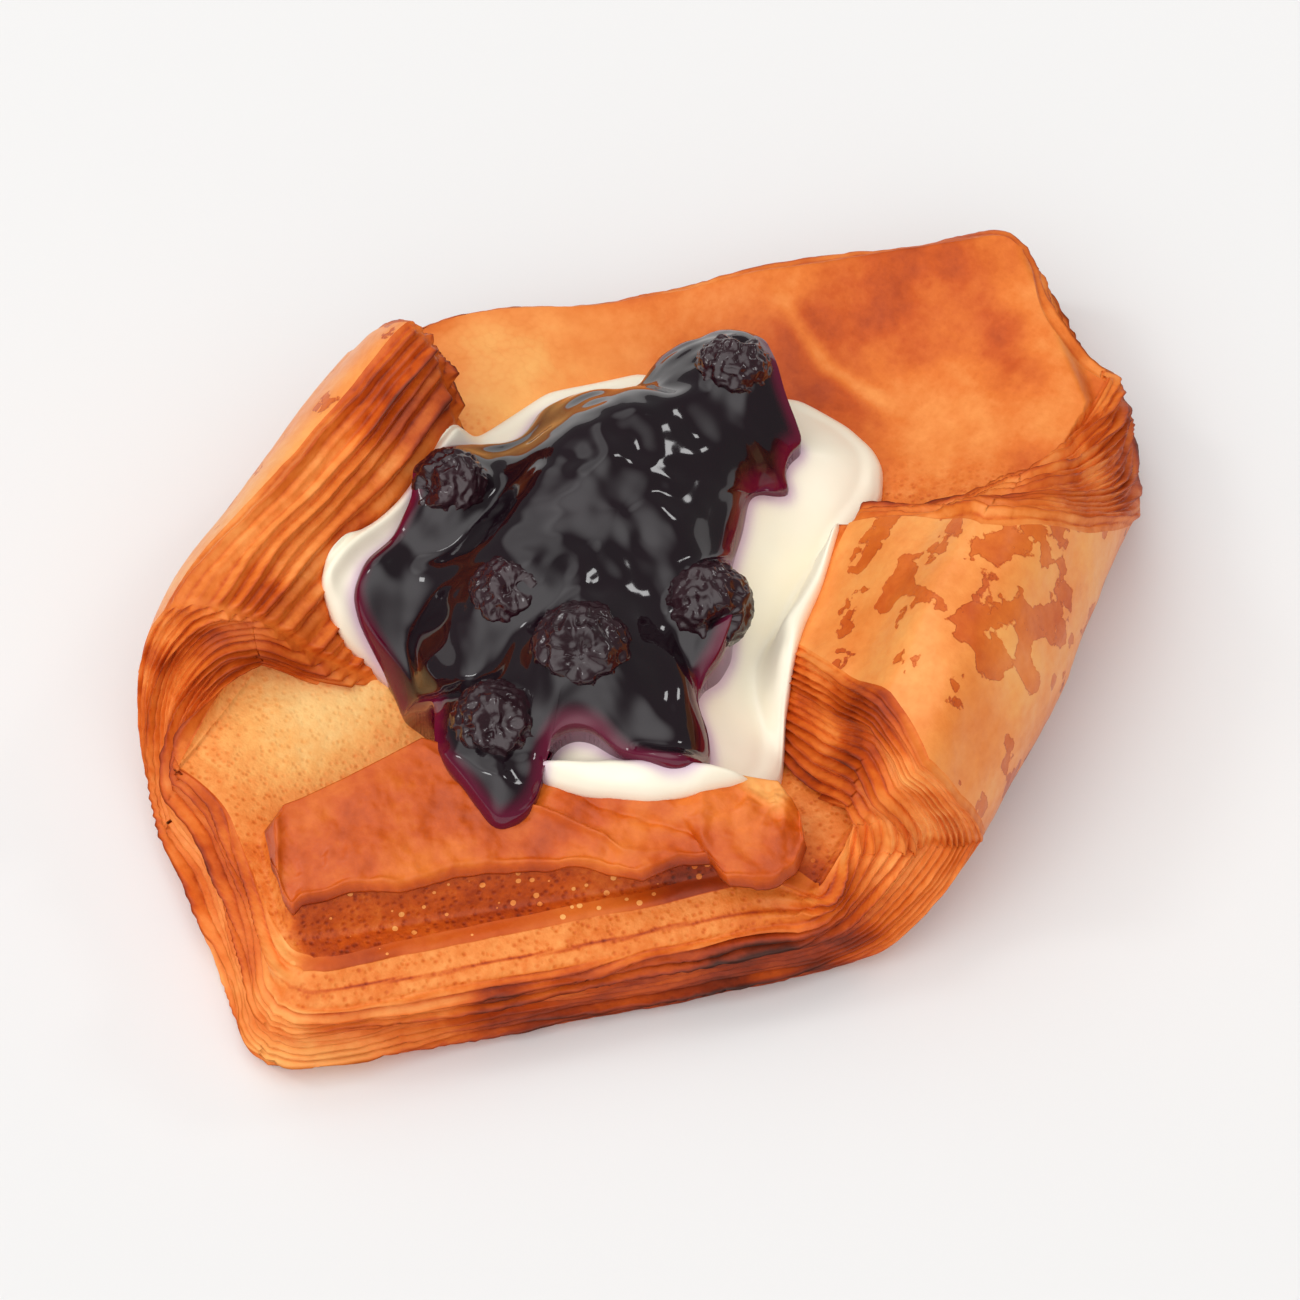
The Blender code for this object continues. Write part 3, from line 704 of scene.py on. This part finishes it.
def make_film(tree, look):
    """A thin brown sheet that lies creased on the shelf, its lower edge loose."""
    length_points, width_steps = FILM_STEPS
    upper, lower = along_line(FILM_UPPER, length_points), along_line(FILM_LOWER, length_points)
    share = np.linspace(0.0, 1.0, width_steps + 1)[None, :, None]
    top = mix(upper[:, None], lower[:, None], share)
    u = np.linspace(0.0, 1.0, length_points)[:, None]
    v = share[..., 0]
    x, y, z = np.moveaxis(top, -1, 0)
    z = z + 0.5 * np.sin(math.pi * v) ** 0.7
    for crease_u, slope, rise in FILM_CREASES:
        across = (u - crease_u) - slope * (v - 0.5)
        z = z + rise * np.exp(-np.abs(across / 0.022) ** 1.3) * np.sin(math.pi * v)
    z = z + 1.1 * np.exp(-(((u - 0.035) / 0.02) ** 2)) * smooth_step(0.0, 0.2, v)
    z = z + cloud(x / 6.0, y / 6.0, 0.0, 141, 5) * smooth_step(0.0, 0.3, v)
    crumpled = smooth_step(0.80, 0.95, u) * np.sin(math.pi * v)
    z = z - 0.9 * smooth_step(0.86, 1.0, u) + crumpled * cloud(x / 2.5, y / 2.5, 2.0, 143, 3)
    curl = smooth_step(0.95, 1.0, v)
    z = z - 0.5 * curl + 0.4 * np.exp(-(((v - 0.95) / 0.03) ** 2))
    under = under_heights(tree, x, y)
    z = np.maximum(z, smoothed_grid(under, 6) + 0.15)
    x = x + 0.3 * noise(x / 3.0, y / 3.0, 4.0, 145) * v
    y = y + 0.3 * noise(x / 3.0, y / 3.0, 5.0, 146) * v
    top = np.stack((x, y, z), axis=-1)
    bottom = top - np.array((0.0, 0.0, FILM_THICKNESS))
    rows, columns = top.shape[:2]
    points = np.concatenate((top.reshape(-1, 3), bottom.reshape(-1, 3)))
    sheet = grid_faces(rows, columns)
    count = rows * columns
    order = np.arange(count).reshape(rows, columns)
    ring = np.concatenate((order[0, :-1], order[:-1, -1], order[-1, :0:-1], order[:0:-1, 0]))
    nearby = np.roll(ring, -1)
    edge = np.stack((ring, nearby, nearby + count, ring + count), axis=-1)
    faces = np.concatenate((sheet, sheet[:, ::-1] + count, edge[:, ::-1]))
    tone = 0.55 + 0.17 * cloud(x / 7.0, y / 7.0, 0.0, 151, 5) + 0.14 * curl
    tone -= 0.34 * smooth_step(0.90, 0.95, u) * smooth_step(0.75, 0.4, v)
    tone += 0.10 * smooth_step(0.05, 0.0, u)
    tone = tone.ravel()
    even = np.zeros_like(tone)
    marks = {"tone": tone, "porous": even + 0.1, "flake": even, "blister": even}
    marks = {key: np.concatenate((value, value)) for key, value in marks.items()}
    return add_piece("plateau_film", points, faces, marks, look, "pastry")


def make_dough():
    """The whole dough in pieces: its skins, its linings and its cut edges."""
    skin = pastry_look("baked_skin", 0.42, 0.20)
    crumb = pastry_look("baked_crumb", 0.55, 0.08)
    columns = np.linspace(0.0, 1.0, COLUMN_STEPS + 1)
    shares = np.linspace(0.0, 1.0, LEAF_STEPS + 1)
    rows = row_list(0, LAST_ROW)
    seeds = LEAF_SEEDS
    return [
        skin_piece("south_skin", columns, row_list(0, 16), 0.0, skin),
        skin_piece("north_skin", columns, row_list(34, LAST_ROW), 0.0, skin),
        skin_piece("tray_side", columns, row_list(16, 34, 6), 0.0, crumb),
        skin_piece("bed", columns, row_list(14, 36), 1.0, crumb),
        skin_piece("south_lining", columns, row_list(0, 14, 5), 1.0, crumb),
        skin_piece("north_lining", columns, row_list(36, LAST_ROW, 5), 1.0, crumb),
        cut_piece("west_leaves", 0.0, rows[:, None], shares, seeds["west"], -1.0, crumb),
        cut_piece("east_leaves", 1.0, rows[:, None], shares, seeds["east"], 1.0, crumb),
        cut_piece("south_tip", columns[::2, None], 0.0, shares[::2], seeds["south"], 1.0, crumb),
        cut_piece("north_tip", columns[:, None], LAST_ROW, shares, seeds["north"], -1.0, crumb),
    ]


def surface_tree(pieces):
    """The joined surfaces of pieces, for finding heights on them."""
    points, faces = [], []
    for piece in pieces:
        mesh = piece.data
        co = np.empty(len(mesh.vertices) * 3, dtype=np.float32)
        mesh.vertices.foreach_get("co", co)
        corners = np.empty(len(mesh.polygons) * 4, dtype=np.int32)
        mesh.polygons.foreach_get("vertices", corners)
        faces.append(corners.reshape(-1, 4) + sum(len(p) for p in points))
        points.append(co.reshape(-1, 3))
    return BVHTree.FromPolygons(np.concatenate(points).tolist(), np.concatenate(faces).tolist())


def under_heights(tree, x, y):
    """The tops of the surfaces under places, or the floor."""
    heights = []
    for place_x, place_y in zip(x.ravel(), y.ravel()):
        origin = Vector((place_x + PLACE[0], place_y + PLACE[1], 100.0)) * MM
        hit = tree.ray_cast(origin, Vector((0.0, 0.0, -1.0)))[0]
        heights.append(0.0 if hit is None else hit.z / MM)
    return np.array(heights).reshape(x.shape)


# The cream: its middle, and its edge as bearings and radii round the middle.
CREAM_MIDDLE = (8.0, 3.0)
CREAM_EDGE_PAIRS = (
    (8, 29.9), (23, 29.3), (44, 30.6), (65, 30.0), (83, 29.3), (98, 29.2), (113, 30.7),
    (120, 32.7), (125, 35.6), (129, 37.4), (133, 38.3), (137, 37.6), (140, 36.6),
    (143, 34.2), (149, 31.7), (160, 31.2), (181, 31.1), (193, 31.9), (201, 31.5),
    (213, 31.1), (222, 30.2), (231, 29.6), (237, 28.7), (243, 26.8), (247, 24.1),
    (252, 21.3), (263, 18.3), (277, 16.6), (295, 16.6), (313, 17.8), (325, 20.0),
    (329, 22.9), (335, 26.4), (342, 28.8), (347, 29.6), (355, 29.9),
)

# The compote: its middle, and its edge as places in plan.
COMPOTE = {
    "middle": (5.0, 8.0),
    "outline": (
        (8.3, 29.1), (10.9, 26.9), (12.5, 26.8), (16.4, 27.7), (19.1, 26.7), (22.0, 25.0),
        (23.9, 22.6), (25.8, 21.0), (28.4, 19.9), (30.8, 18.6), (32.7, 16.2), (34.0, 14.1),
        (34.6, 11.9), (34.4, 9.8), (32.3, 7.1), (30.2, 4.4), (28.3, 0.1), (26.6, 0.7),
        (24.9, 0.4), (24.1, -1.4), (22.6, -0.3), (21.3, 1.0), (19.8, 1.3), (15.9, -0.7),
        (11.0, -2.7), (6.0, -6.9), (3.0, -8.8), (-0.4, -9.6), (-2.8, -9.4), (-4.8, -10.0),
        (-6.2, -11.4), (-7.3, -13.3), (-8.8, -14.8), (-10.3, -15.7), (-12.1, -15.9),
        (-13.8, -15.3), (-15.2, -13.7), (-16.3, -9.4), (-16.3, -4.9), (-16.9, -3.2),
        (-18.1, -1.9), (-19.4, -1.5), (-21.1, -2.0), (-24.5, -3.9), (-26.5, -4.4),
        (-28.2, -4.1), (-29.6, -3.3), (-30.4, -2.3), (-30.1, -0.8), (-29.1, 2.5),
        (-28.3, 5.9), (-26.5, 8.7), (-23.0, 11.4), (-21.6, 12.8), (-21.2, 15.1),
        (-21.4, 17.3), (-19.8, 19.8), (-19.1, 21.5), (-18.2, 25.7), (-16.9, 27.6),
        (-13.5, 28.6), (-9.1, 28.2), (-4.8, 28.5), (-2.2, 30.7), (1.3, 30.6), (5.1, 29.0),
    ),
}


def polar_outline(middle, pairs):
    """Places round a middle from pairs of bearing and radius."""
    return [(
        middle[0] + radius * math.cos(math.radians(bearing)),
        middle[1] + radius * math.sin(math.radians(bearing)),
    ) for bearing, radius in pairs]


CREAM = {"middle": CREAM_MIDDLE, "outline": polar_outline(CREAM_MIDDLE, CREAM_EDGE_PAIRS)}

# How far corners of the outlines are rounded off, the cream's level, the heights of both
# edges, and how finely both are cut into faces, in rings and round each.
CORNER_ROUNDING = 0.7
CREAM_LEVEL = 21.5
CREAM_EDGE = 3.6
COMPOTE_EDGE = 2.2
CREAM_STEPS = (60, 300)
COMPOTE_STEPS = (100, 360)

# The compote's lumps: place, height and width.
LUMPS = (
    (17.0, 14.0, 3.4, 11.0),
    (6.0, 15.0, 1.6, 9.0),
    (-9.0, 12.0, 2.4, 4.5),
    (-3.0, 4.0, 1.2, 9.0),
    (27.0, 11.0, 1.6, 5.0),
)

# The whole berries: place, height of the middle, radius, and the bearing and the elevation
# at which the crown looks.
BERRIES = (
    (-10.6, 1.2, 25.6, 5.6, -150.0, 55.0),
    (3.5, -5.2, 23.0, 5.0, -120.0, 30.0),
    (-21.4, 4.4, 21.2, 5.2, -135.0, 60.0),
    (-1.4, 26.2, 23.9, 4.4, 160.0, 40.0),
    (28.5, 10.0, 26.0, 4.4, 20.0, 45.0),
    (-9.0, 12.0, 24.6, 4.6, -120.0, 70.0),
)
BERRY_STEPS = (70, 110)
BERRY_FLATNESS = 0.88


def outline_points(blob, count):
    """Evenly spaced points round a blob, with its corners rounded off."""
    line = np.array([*blob["outline"], blob["outline"][0]])
    at = np.append(0.0, np.cumsum(np.hypot(*np.diff(line, axis=0).T)))
    wanted = np.linspace(0.0, at[-1], count, endpoint=False)
    points = np.stack([np.interp(wanted, at, line[:, i]) for i in (0, 1)], axis=-1)
    return blurred(points, CORNER_ROUNDING * count / at[-1])


def blurred(points, reach):
    """Points round a closed line, each a weighted mean of those within a reach."""
    steps = np.arange(-int(3.0 * reach), int(3.0 * reach) + 1)
    weights = np.exp(-0.5 * (steps / max(reach, 1e-3)) ** 2)
    total = sum(w * np.roll(points, step, axis=0) for w, step in zip(weights, steps))
    return total / weights.sum()


def blob_places(blob, rings, segments):
    """Plan places of a blob in rings out to its outline, and how far inside it each is."""
    outline = outline_points(blob, segments)
    middle = np.array(blob["middle"])
    places = []
    for share in np.sin(0.5 * math.pi * np.linspace(0.0, 1.0, rings + 1)):
        ring = outline if share > 0.999 else blurred(outline, segments * 0.06 * (1.0 - share))
        places.append(middle + (ring - middle) * share)
    x, y = np.moveaxis(np.array(places), -1, 0)
    inside = []
    for ring_x, ring_y in zip(x, y):
        gaps = np.hypot(ring_x[:, None] - x[-1][None, :], ring_y[:, None] - y[-1][None, :])
        inside.append(gaps.min(axis=1))
    return x, y, np.array(inside)


def rounded(inside, radius):
    """The height of a rounded edge, as a share of its full height."""
    short = 1.0 - np.clip(inside / radius, 0.0, 1.0)
    return np.sqrt(np.maximum(1.0 - short**2, 0.0))


def smoothed(values, turns):
    """Values on rings, evened out with their neighbours."""
    for _ in range(turns):
        padded = np.vstack((values[:1], values, values[-1:]))
        values = (2.0 * values + padded[:-2] + padded[2:]) / 4.0
        values = (2.0 * values + np.roll(values, 1, axis=1) + np.roll(values, -1, axis=1)) / 4.0
        values[0] = values[0].mean()
    return values


def ring_faces(rings, segments):
    """The faces between closed rings of points."""
    first = np.arange(rings - 1)[:, None] * segments + np.arange(segments)
    following = np.arange(rings - 1)[:, None] * segments + (np.arange(segments) + 1) % segments
    corners = (first, first + segments, following + segments, following)
    return np.stack(corners, axis=-1).reshape(-1, 4)


def blob_piece(name, node, x, y, base, top, marks, look):
    """A closed spill from its places, lower heights and upper heights."""
    upper = np.stack((x, y, top), axis=-1)
    kept = sorted({*range(0, len(x), 12), len(x) - 1}, reverse=True)
    lower = np.stack((x, y, base), axis=-1)[kept]
    points = np.concatenate((upper, lower))
    faces = ring_faces(*points.shape[:2])
    marks = {key: np.concatenate((value, value[kept])) for key, value in marks.items()}
    return add_piece(name, points, faces, marks, look, node)


def soft_maximum(first, second, sharpness):
    return second + sharpness * np.logaddexp(0.0, (first - second) / sharpness)


def soft_minimum(first, second, sharpness):
    return -soft_maximum(-first, -second, sharpness)


def make_cream(tree, look):
    """The cream, stained where the compote's edge lies on it."""
    x, y, inside = blob_places(CREAM, *CREAM_STEPS)
    ground = under_heights(tree, x, y)
    even = smoothed(ground, 14)
    level = CREAM_LEVEL + 0.4 * noise(x / 9.0, y / 9.0, 0.0, 71)
    heap = even + CREAM_EDGE * rounded(inside, 3.4) + 0.8 * np.maximum(inside - 2.5, 0.0)
    top = np.maximum(soft_minimum(level, heap, 0.9), ground + 2.4 * rounded(inside, 2.4))
    high = smooth_step(25.0, 27.0, ground)
    top = smoothed(mix(top, np.minimum(top, ground - 0.1), high), 3)
    base = np.minimum(ground, top) - 0.5
    top = np.maximum(top, base + 0.02)
    spill = outline_points(COMPOTE, 400)
    gaps = [np.hypot(*(spill - (a, b)).T).min() for a, b in zip(x.ravel(), y.ravel())]
    stain = np.exp(-((np.array(gaps).reshape(x.shape) / 0.9) ** 2))
    return blob_piece("cream_pool", "cream", x, y, base, top, {"stain": stain}, look)


def make_compote(tree, look):
    """The compote, thin and stained at its edge, risen round the berries."""
    x, y, inside = blob_places(COMPOTE, *COMPOTE_STEPS)
    ground = under_heights(tree, x, y)
    even = smoothed(np.minimum(ground, 24.0), 10)
    deep = COMPOTE_EDGE * rounded(inside, 1.8) + 2.8 * (1.0 - np.exp(-((inside / 9.0) ** 1.6)))
    for lump_x, lump_y, rise, width in LUMPS:
        deep = deep + rise * spot(x, y, (lump_x, lump_y), width) * smooth_step(0.0, 5.0, inside)
    top = even + deep + 1.5 * cloud(x / 8.0, y / 8.0, 3.0, 81, 3) * smooth_step(0.0, 4.0, inside)
    for berry_x, berry_y, berry_z, radius, _, _ in BERRIES:
        distance = np.hypot(x - berry_x, y - berry_y) / radius
        collar = berry_z + radius * (0.35 - np.maximum(distance - 0.75, 0.0) ** 1.2)
        collar = collar + 0.8 * cloud(x / 3.0, y / 3.0, 7.0, 83, 3)
        top = np.where(distance < 2.4, soft_maximum(collar, top, 0.8), top)
    top = smoothed(top, 3)
    base = np.minimum(ground, top) - 0.4
    top = np.maximum(top, base + 0.02)
    thin = 1.0 - smooth_step(0.2, 1.8, inside)
    return blob_piece("compote_spill", "compote", x, y, base, top, {"stain": thin}, look)


def make_berry(number, berry, look):
    """A wrinkled berry with the star-shaped rim of its crown."""
    x, y, z, radius, bearing, elevation = berry
    rings, segments = BERRY_STEPS
    polar = np.linspace(0.0, math.pi, rings + 1)[:, None]
    around = np.linspace(0.0, 2.0 * math.pi, segments, endpoint=False)[None, :]
    unit = np.stack((
        np.sin(polar) * np.cos(around),
        np.sin(polar) * np.sin(around),
        np.cos(polar) * np.ones_like(around),
    ), axis=-1)
    crown = np.exp(-(((polar - 0.50) / 0.14) ** 2)) * (1.0 + 0.7 * np.cos(5.0 * around))
    size = 1.0 + 0.07 * crown - 0.16 * np.exp(-((polar / 0.32) ** 4))
    ux, uy, uz = np.moveaxis(unit, -1, 0)
    wrinkle = cloud(ux * 4.0, uy * 4.0, uz * 4.0, 90 + number, 4)
    crease = -np.abs(noise(ux * 5.0, uy * 5.0, uz * 5.0, 95 + number))
    size = size + 0.07 * wrinkle + 0.10 * crease
    tilt = direction(bearing + 90.0, elevation).to_track_quat("Z", "Y").to_matrix()
    points = unit * size[..., None] * np.array((1.0, 1.0, BERRY_FLATNESS)) * radius
    points = points @ np.array(tilt).T + np.array((x, y, z))
    faces = ring_faces(rings + 1, segments)
    return add_piece(f"whole_berry_{number}", points, faces, {}, look, f"berry_{number}")


# Colours of the filling: two that it varies between, and the one of its stains.
CREAM_COLOURS = (rgb(255, 250, 230), rgb(255, 243, 216), rgb(214, 186, 200))
GLAZE_COLOURS = ((0.006, 0.003, 0.005), (0.012, 0.004, 0.008), rgb(96, 10, 44))
BERRY_COLOURS = ((0.008, 0.002, 0.004), (0.034, 0.006, 0.012), rgb(70, 16, 36))


def filling_look(name, colours, roughness, coat):
    """Cream, glaze or berry skin, clouded between two colours and stained where thin."""
    glaze = {"Roughness": roughness, "Coat Weight": coat, "Coat Roughness": 0.05}
    made, tree, shader = new_look(name, glaze)
    place = tree.nodes.new("ShaderNodeTexCoord")
    cloudy = with_inputs(tree.nodes.new("ShaderNodeTexNoise"), {"Scale": 140.0, "Detail": 4.0})
    stain = tree.nodes.new("ShaderNodeAttribute")
    stain.attribute_name = "stain"
    tree.links.new(place.outputs["Object"], cloudy.inputs["Vector"])
    first, second, stained = ((*colour, 1.0) for colour in colours)
    shades = []
    steps = ((cloudy.outputs["Fac"], first, second), (stain.outputs["Fac"], None, stained))
    for factor, a, b in steps:
        both = tree.nodes.new("ShaderNodeMix")
        both.data_type = "RGBA"
        sockets = {socket.identifier: socket for socket in both.inputs}
        tree.links.new(factor, sockets["Factor_Float"])
        sockets["B_Color"].default_value = b
        if a is None:
            tree.links.new(shades[-1], sockets["A_Color"])
        else:
            sockets["A_Color"].default_value = a
        shades.append(next(o for o in both.outputs if o.identifier == "Result_Color"))
    tree.links.new(shades[-1], shader.inputs["Base Color"])
    return made


# The camera: where it stands, what it looks at, and how large that is in the image.
CAMERA_BEARING = -53.0
CAMERA_ELEVATION = 57.0
CAMERA_DISTANCE = 0.60
CAMERA_TARGET = (0.0, 0.0, 14.0)
SENSOR_WIDTH = 36.0
PIXELS_PER_METRE = 9200.0
IMAGE_SIDE = 1300.0

# The studio: softboxes, as bearing, elevation, half-width of the full and of the last
# light, and strength, in a dimmer room. The windows are a bearing, an elevation, a size
# in metres and a brightness.
SOFTBOXES = ((-80.0, 62.0, 14.0, 62.0, 1.60), (150.0, 50.0, 14.0, 28.0, 1.00))
ROOM_STRENGTH = 0.26
WINDOWS = ((-150.0, 48.0, (0.15, 0.20), 9.0), (70.0, 40.0, (0.12, 0.15), 9.0))
WINDOW_DISTANCE = 1.0
FLOOR_HALF_SIDE = 2.0
FLOOR_LEVEL = -0.0002
FLOOR_COLOUR = rgb(234, 233, 232)


def direction(bearing, elevation):
    """The unit vector towards a bearing, from straight south towards east, and elevation."""
    a, e = math.radians(bearing), math.radians(elevation)
    return Vector((math.sin(a) * math.cos(e), -math.cos(a) * math.cos(e), math.sin(e)))


def add_camera():
    camera = add_object("camera", bpy.data.cameras.new("camera"))
    camera.data.sensor_width = SENSOR_WIDTH
    camera.data.lens = SENSOR_WIDTH * CAMERA_DISTANCE * PIXELS_PER_METRE / IMAGE_SIDE
    back = direction(CAMERA_BEARING, CAMERA_ELEVATION)
    camera.location = Vector((np.array(CAMERA_TARGET) + PLACE) * MM) + back * CAMERA_DISTANCE
    camera.rotation_euler = (-back).to_track_quat("-Z", "Y").to_euler()
    bpy.context.scene.camera = camera


def add_window(name, bearing, elevation, size, brightness):
    light = add_object(name, bpy.data.lights.new(name, "AREA"))
    light.data.shape = "RECTANGLE"
    light.data.size, light.data.size_y = size
    light.data.energy = brightness * math.pi * size[0] * size[1]
    towards = direction(bearing, elevation)
    light.location = towards * WINDOW_DISTANCE
    light.rotation_euler = (-towards).to_track_quat("-Z", "Y").to_euler()


def add_floor():
    corners = ((-1.0, -1.0), (1.0, -1.0), (1.0, 1.0), (-1.0, 1.0))
    places = [(FLOOR_HALF_SIDE * x, FLOOR_HALF_SIDE * y, FLOOR_LEVEL) for x, y in corners]
    mesh = bpy.data.meshes.new("floor")
    mesh.from_pydata(places, [], [(0, 1, 2, 3)])
    look = new_look("floor", {"Base Color": (*FLOOR_COLOUR, 1.0), "Roughness": 0.9})[0]
    mesh.materials.append(look)
    add_object("floor", mesh)


def add_studio():
    """The lights: softboxes painted on the surroundings, and the windows."""
    world = bpy.data.worlds.new("studio")
    world.use_nodes = True
    tree = world.node_tree
    place = tree.nodes.new("ShaderNodeTexCoord")
    total = None
    for bearing, elevation, full, last, strength in SOFTBOXES:
        towards = tree.nodes.new("ShaderNodeVectorMath")
        towards.operation = "DOT_PRODUCT"
        towards.inputs[1].default_value = direction(bearing, elevation)
        tree.links.new(place.outputs["Generated"], towards.inputs[0])
        low, high = math.cos(math.radians(last)), math.cos(math.radians(full))
        limits = {"From Min": low, "From Max": high, "To Max": strength}
        lit = with_inputs(tree.nodes.new("ShaderNodeMapRange"), limits)
        lit.interpolation_type = "SMOOTHSTEP"
        tree.links.new(towards.outputs["Value"], lit.inputs["Value"])
        both = tree.nodes.new("ShaderNodeMath")
        tree.links.new(lit.outputs["Result"], both.inputs[0])
        both.inputs[1].default_value = ROOM_STRENGTH
        if total is not None:
            tree.links.new(total, both.inputs[1])
        total = both.outputs[0]
    background = with_inputs(tree.nodes["Background"], {"Color": (1.0, 1.0, 1.0, 1.0)})
    tree.links.new(total, background.inputs["Strength"])
    bpy.context.scene.world = world
    for number, window in enumerate(WINDOWS, 1):
        add_window(f"window_{number}", *window)
    bpy.context.scene.view_settings.view_transform = "Standard"


def main():
    dough = make_dough()
    film_look = pastry_look("loose_film", 0.40, 0.12)
    dough.append(make_film(surface_tree(dough), film_look))
    cream_look = filling_look("set_cream", CREAM_COLOURS, 0.34, 0.0)
    compote_look = filling_look("glaze", GLAZE_COLOURS, 0.07, 0.0)
    berry_look = filling_look("berry_skin", BERRY_COLOURS, 0.20, 0.15)
    cream = make_cream(surface_tree(dough), cream_look)
    make_compote(surface_tree([*dough, cream]), compote_look)
    for number, berry in enumerate(BERRIES, 1):
        make_berry(number, berry, berry_look)
    add_camera()
    add_floor()
    add_studio()


main()
